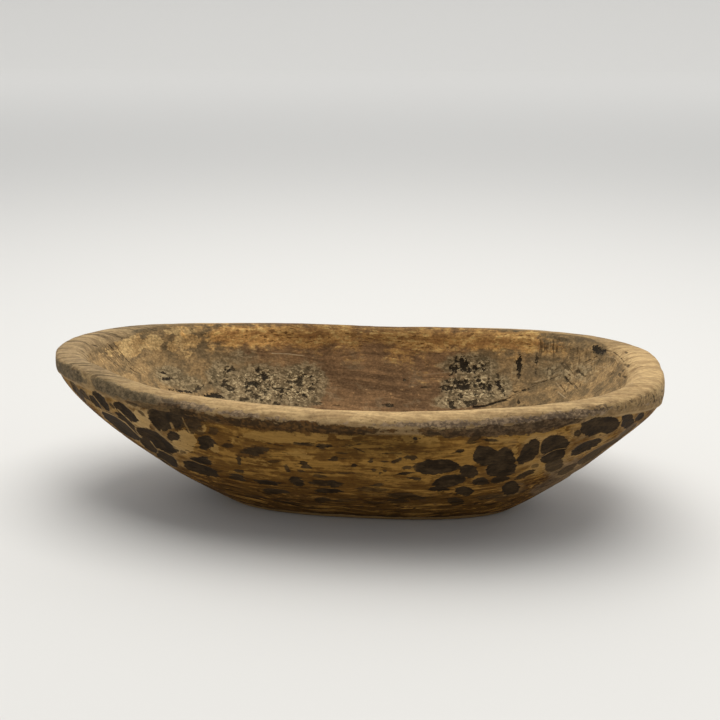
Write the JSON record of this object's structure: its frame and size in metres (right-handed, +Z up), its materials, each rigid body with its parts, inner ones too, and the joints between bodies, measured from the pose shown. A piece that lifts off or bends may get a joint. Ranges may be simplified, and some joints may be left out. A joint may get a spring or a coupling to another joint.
{
  "type": "dough bowl",
  "caption": "Long oval wooden dough bowl, hewn from one half log, with a thick rounded rim, flaring flanks and a flat foot, for mixing and proving dough or for holding fruit.",
  "frame": {"origin": "middle of the rim's outline seen from above, at the height of the foot's flat underside", "axes": "+X along the bowl's length and the wood's grain, +Y across it, +Z up out of the hollow"},
  "size_m": [0.6502, 0.3252, 0.162],
  "materials": {
    "hewn_wood": "old dry hewn wood, golden brown with dark patina left in the shallow tool scoops, worn pale on the rim"
  },
  "bodies": {
    "root": {"bowl": "hewn_wood"}
  },
  "joints": []
}
